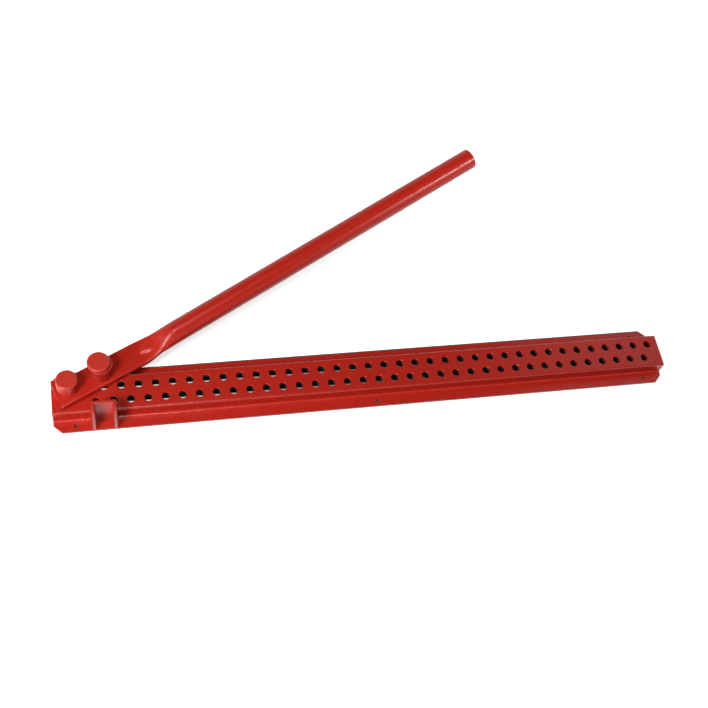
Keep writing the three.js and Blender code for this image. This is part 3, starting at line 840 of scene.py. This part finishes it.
def paper():
    material = bpy.data.materials.new("pale_paper")
    material.use_nodes = True
    tree = material.node_tree
    tree.nodes.clear()
    spot = tree.nodes.new("ShaderNodeTexCoord").outputs["Object"]
    axes = linked(tree, "ShaderNodeSeparateXYZ", {0: spot})
    reach = {}
    # The footprint reaches past the rear foot by the painted contact shadow's width.
    for axis, middle in (("X", (RAIL_RIGHT + RAIL_LEFT) / 2), ("Y", RAIL_MIDDLE + PAINTED_CONTACT_SHADOW / 2)):
        from_middle = reckoned(tree, "SUBTRACT", axes.outputs[axis], middle)
        reach[axis] = reckoned(tree, "ABSOLUTE", from_middle)
    corner = reckoned(tree, "ADD", reach["X"], reach["Y"])
    half_long = (RAIL_RIGHT - RAIL_LEFT) / 2
    half_wide = RAIL_HALF + FOOT_REACH + PAINTED_CONTACT_SHADOW / 2
    beyond = []
    for value, half in (
        (reach["X"], half_long),
        (reach["Y"], half_wide),
        (corner, half_long + half_wide - FOOT_CLIP),
    ):
        past = linked(
            tree, "ShaderNodeMapRange",
            {"Value": value, "From Min": half - FOOTPRINT_EDGE, "From Max": half},
        )
        beyond.append(past.outputs[0])
    outside = reckoned(tree, "MAXIMUM", reckoned(tree, "MAXIMUM", beyond[0], beyond[1]), beyond[2])
    from_tool = linked(tree, "ShaderNodeVectorMath", {0: spot, 1: TOOL_MIDDLE}, operation="DISTANCE")
    far = linked(
        tree, "ShaderNodeMapRange",
        {"Value": from_tool.outputs["Value"], "From Min": FAR_FROM, "From Max": FAR_TO, "To Min": NEAR_GLOW},
        interpolation_type="SMOOTHSTEP",
    )
    backdrop_glow_and_painted_light = reckoned(tree, "MULTIPLY", outside, far.outputs[0])
    # Painted light: narrow glowing strips under the rail, fading out along it away from the pivot end.
    painted_light_fading = linked(
        tree, "ShaderNodeMapRange",
        {"Value": axes.outputs["X"], "From Max": PAINTED_LIGHT_FADE, "To Min": PAINTED_LIGHT_GLOW, "To Max": 0},
    )
    painted_light_under_rail = reckoned(tree, "MULTIPLY", painted_light_fading.outputs[0], reckoned(tree, "SUBTRACT", 1, outside))
    for strip in PAINTED_LIGHT_STRIPS:
        on_painted_light_strip = reckoned(tree, "COMPARE", axes.outputs["Y"], strip + PAINTED_LIGHT_WIDE / 2, PAINTED_LIGHT_WIDE / 2)
        painted_light_strip = reckoned(tree, "MULTIPLY", on_painted_light_strip, painted_light_under_rail)
        backdrop_glow_and_painted_light = reckoned(tree, "MAXIMUM", backdrop_glow_and_painted_light, painted_light_strip)
    path = tree.nodes.new("ShaderNodeLightPath")
    seen = reckoned(tree, "MAXIMUM", path.outputs["Is Camera Ray"], path.outputs["Is Glossy Ray"])
    seen = reckoned(tree, "MAXIMUM", seen, path.outputs["Is Transmission Ray"])
    # The glow holds both the white backdrop and the painted light of the strips.
    glow = linked(tree, "ShaderNodeEmission", {"Color": (1, 1, 1, 1), "Strength": backdrop_glow_and_painted_light})
    # Painted shade: the paper under the rail, and darker under its feet, is made dark to the camera.
    painted_shade_under_rail = linked(
        tree, "ShaderNodeMapRange",
        {
            "Value": reach["Y"], "From Min": RAIL_HALF - SHEET, "From Max": RAIL_HALF,
            "To Min": UNDER_RAIL_PAINTED_SHADE, "To Max": UNDER_FOOT_PAINTED_SHADE,
        },
    )
    shade = reckoned(tree, "MAXIMUM", painted_shade_under_rail.outputs[0], outside)
    lit = linked(tree, "ShaderNodeBsdfDiffuse", {"Color": shade})
    white = linked(tree, "ShaderNodeAddShader", {0: lit.outputs[0], 1: glow.outputs[0]})
    dim = linked(tree, "ShaderNodeBsdfDiffuse", {"Color": (DIM_TONE, DIM_TONE, DIM_TONE, 1)})
    either = linked(tree, "ShaderNodeMixShader", {0: seen, 1: dim.outputs[0], 2: white.outputs[0]})
    made = tree.nodes.new("ShaderNodeOutputMaterial")
    tree.links.new(either.outputs[0], made.inputs["Surface"])
    return material


def paper_mesh():
    """A disc just under the tool with its rim drawn up all round as a backdrop."""
    bm = bmesh.new()
    rim = bmesh.ops.create_circle(bm, cap_ends=True, segments=PAPER_SIDES, radius=PAPER_RADIUS)["verts"]
    bmesh.ops.translate(bm, verts=rim, vec=(0, 0, -PAPER_DROP))
    edges = [e for e in bm.edges if e.is_boundary]
    extruded_edges(bm, edges, (0, 0, PAPER_RISE))
    mesh = bpy.data.meshes.new("paper")
    bm.to_mesh(mesh)
    bm.free()
    return mesh


floor = bpy.data.objects.new("floor_and_backdrop", paper_mesh())
bpy.context.scene.collection.objects.link(floor)
floor.data.materials.append(paper())


# Camera: a plain lens at the photograph's viewing angle, above and in front of the pivot end.
LENS = 53.290
CAMERA_SPOT = (0.05922, -0.66940, 1.42525)
CAMERA_RIGHT = Vector((0.97091544, -0.17188409, 0.16667053))
CAMERA_UP = Vector((0.0716726, 0.87287175, 0.48265718))
camera_data = bpy.data.cameras.new("camera")
camera_data.sensor_fit = "HORIZONTAL"
camera_data.sensor_width = 36
camera_data.lens = LENS
camera_data.clip_end = 30
camera = bpy.data.objects.new("camera", camera_data)
bpy.context.scene.collection.objects.link(camera)
camera_back = CAMERA_RIGHT.cross(CAMERA_UP)
camera_turn = Matrix((CAMERA_RIGHT, CAMERA_UP, camera_back)).transposed().to_4x4()
camera.matrix_world = Matrix.Translation(CAMERA_SPOT) @ camera_turn
bpy.context.scene.camera = camera


# Studio light: a key lamp high on the front left, a soft one almost overhead, low fills at the left
# and the front, a narrow beam from the right that draws the streak along the tube's far end, and a
# large dim panel at the right back. The surround is dim.
SURROUND = 0.05


def lamp(name, spot, aim, size, power, spread=math.pi):
    data = bpy.data.lights.new(name, "AREA")
    data.shape = "DISK"
    data.size = size
    data.energy = power
    data.spread = spread
    lamp_object = bpy.data.objects.new(name, data)
    bpy.context.scene.collection.objects.link(lamp_object)
    way = (Vector(aim) - Vector(spot)).normalized()
    lamp_object.location = spot
    lamp_object.rotation_euler = way.to_track_quat("-Z", "Y").to_euler()


lamp("key", spot=(-0.76, -0.85, 1.64), aim=(0.05, 0.06, 0.04), size=0.55, power=25.5)
lamp("overhead", spot=(0.12, -0.22, 2.2), aim=(0.2, 0.04, 0), size=0.2, power=14)
lamp("front", spot=(-1.0, -1.1, 0.4), aim=(0.1, 0.01, 0.02), size=0.5, power=14)
lamp("left", spot=(-1.5, 0.05, 0.95), aim=(0, 0.05, 0.04), size=0.4, power=2)
lamp("right", spot=(1.99, -0.5, 1.26), aim=(0.68, 0.37, 0.1), size=0.15, power=0.2, spread=math.radians(20))
lamp("sky", spot=(2.35, 1.05, 2.15), aim=(0.8, 0.04, 0), size=1.3, power=2.8)

world = bpy.data.worlds.new("surround")
bpy.context.scene.world = world
world.use_nodes = True
surround = world.node_tree.nodes["Background"]
surround.inputs["Color"].default_value = (1, 1, 1, 1)
surround.inputs["Strength"].default_value = SURROUND
bpy.context.scene.view_settings.view_transform = "Standard"
